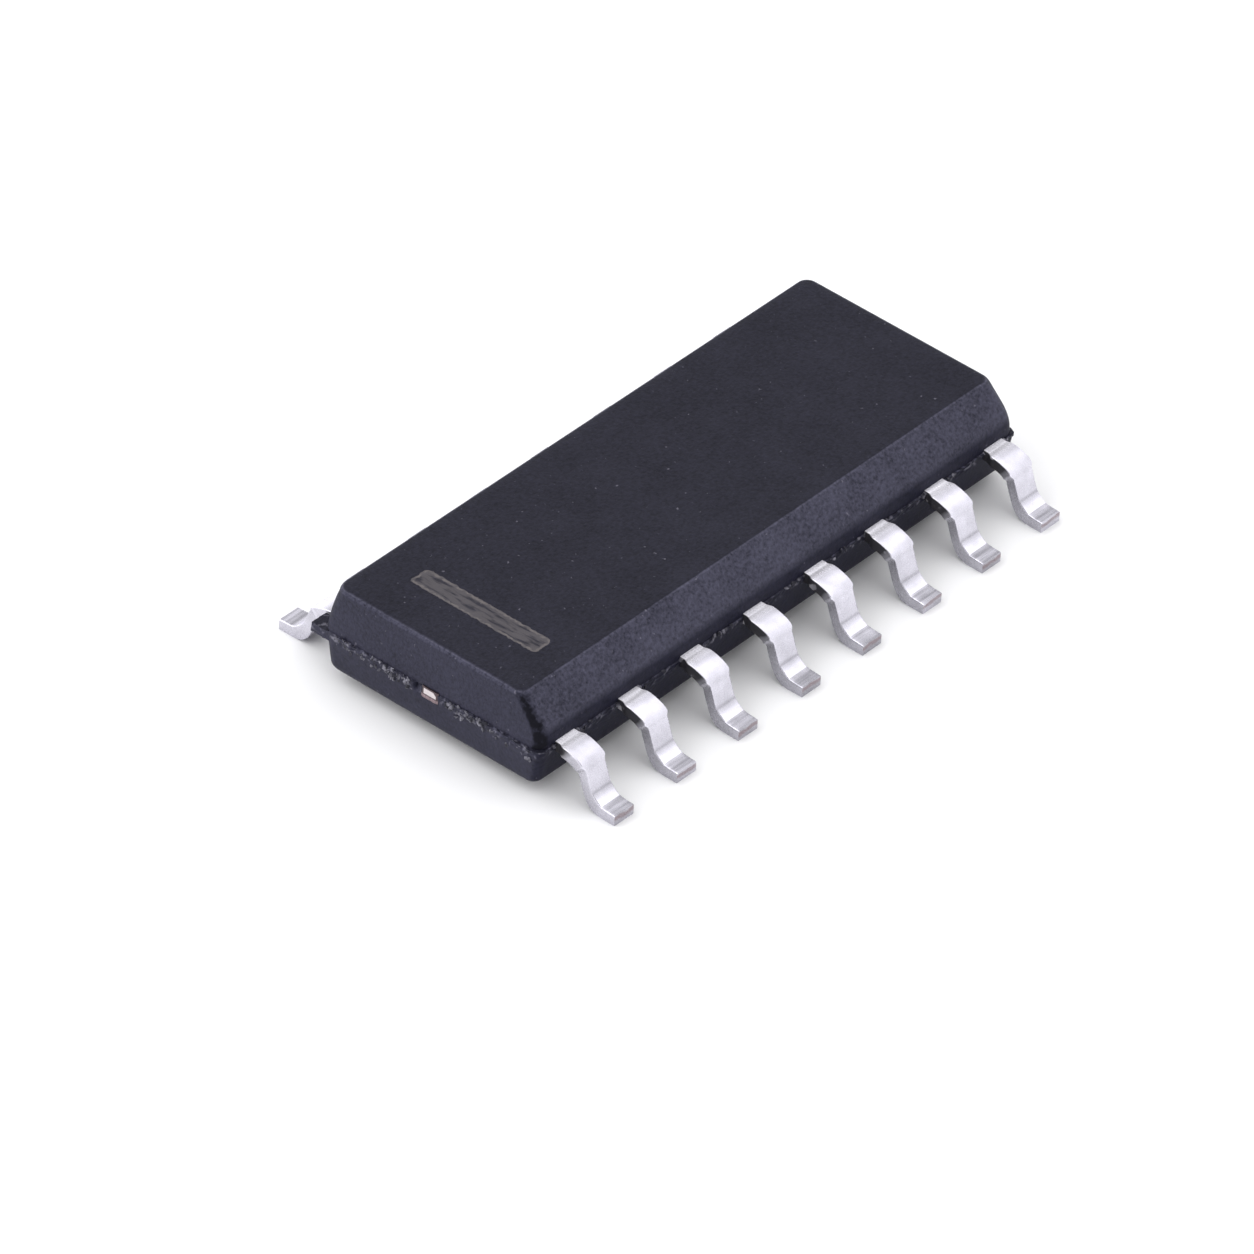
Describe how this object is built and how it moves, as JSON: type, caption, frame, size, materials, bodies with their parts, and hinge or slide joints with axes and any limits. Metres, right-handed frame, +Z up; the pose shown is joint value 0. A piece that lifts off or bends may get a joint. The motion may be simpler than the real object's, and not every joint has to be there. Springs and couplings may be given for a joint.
{
  "type": "analog multiplexer chip",
  "caption": "Small-outline integrated circuit that switches analog signals: a bevelled black epoxy body with rows of tinned gull-wing leads, die and bond wires inside.",
  "frame": {"origin": "centre of the footprint on the seating plane, under the feet of the leads", "axes": "+X along the body from the pin 1 end to the other end, +Y across the leads away from the bevelled pin 1 side, +Z up from the seating plane to the top face"},
  "size_m": [0.01, 0.006, 0.0015],
  "materials": {
    "mould_compound": "matte",
    "tinned_lead": "satin",
    "copper": "satin",
    "die_adhesive": "matte",
    "silicon": "gloss",
    "gold_wire": "gloss"
  },
  "bodies": {
    "root": {"body": "mould_compound", "die_pad": "copper", "die_attach": "die_adhesive", "die": "silicon", "lead_1": "tinned_lead", "lead_2": "tinned_lead", "lead_3": "tinned_lead", "lead_4": "tinned_lead", "lead_5": "tinned_lead", "lead_6": "tinned_lead", "lead_7": "tinned_lead", "lead_8": "tinned_lead", "lead_9": "tinned_lead", "lead_10": "tinned_lead", "lead_11": "tinned_lead", "lead_12": "tinned_lead", "lead_13": "tinned_lead", "lead_14": "tinned_lead", "lead_15": "tinned_lead", "lead_16": "tinned_lead", "bond_wire_1": "gold_wire", "bond_wire_2": "gold_wire", "bond_wire_3": "gold_wire", "bond_wire_4": "gold_wire", "bond_wire_5": "gold_wire", "bond_wire_6": "gold_wire", "bond_wire_7": "gold_wire", "bond_wire_8": "gold_wire", "bond_wire_9": "gold_wire", "bond_wire_10": "gold_wire", "bond_wire_11": "gold_wire", "bond_wire_12": "gold_wire", "bond_wire_13": "gold_wire", "bond_wire_14": "gold_wire", "bond_wire_15": "gold_wire", "bond_wire_16": "gold_wire"}
  },
  "joints": []
}
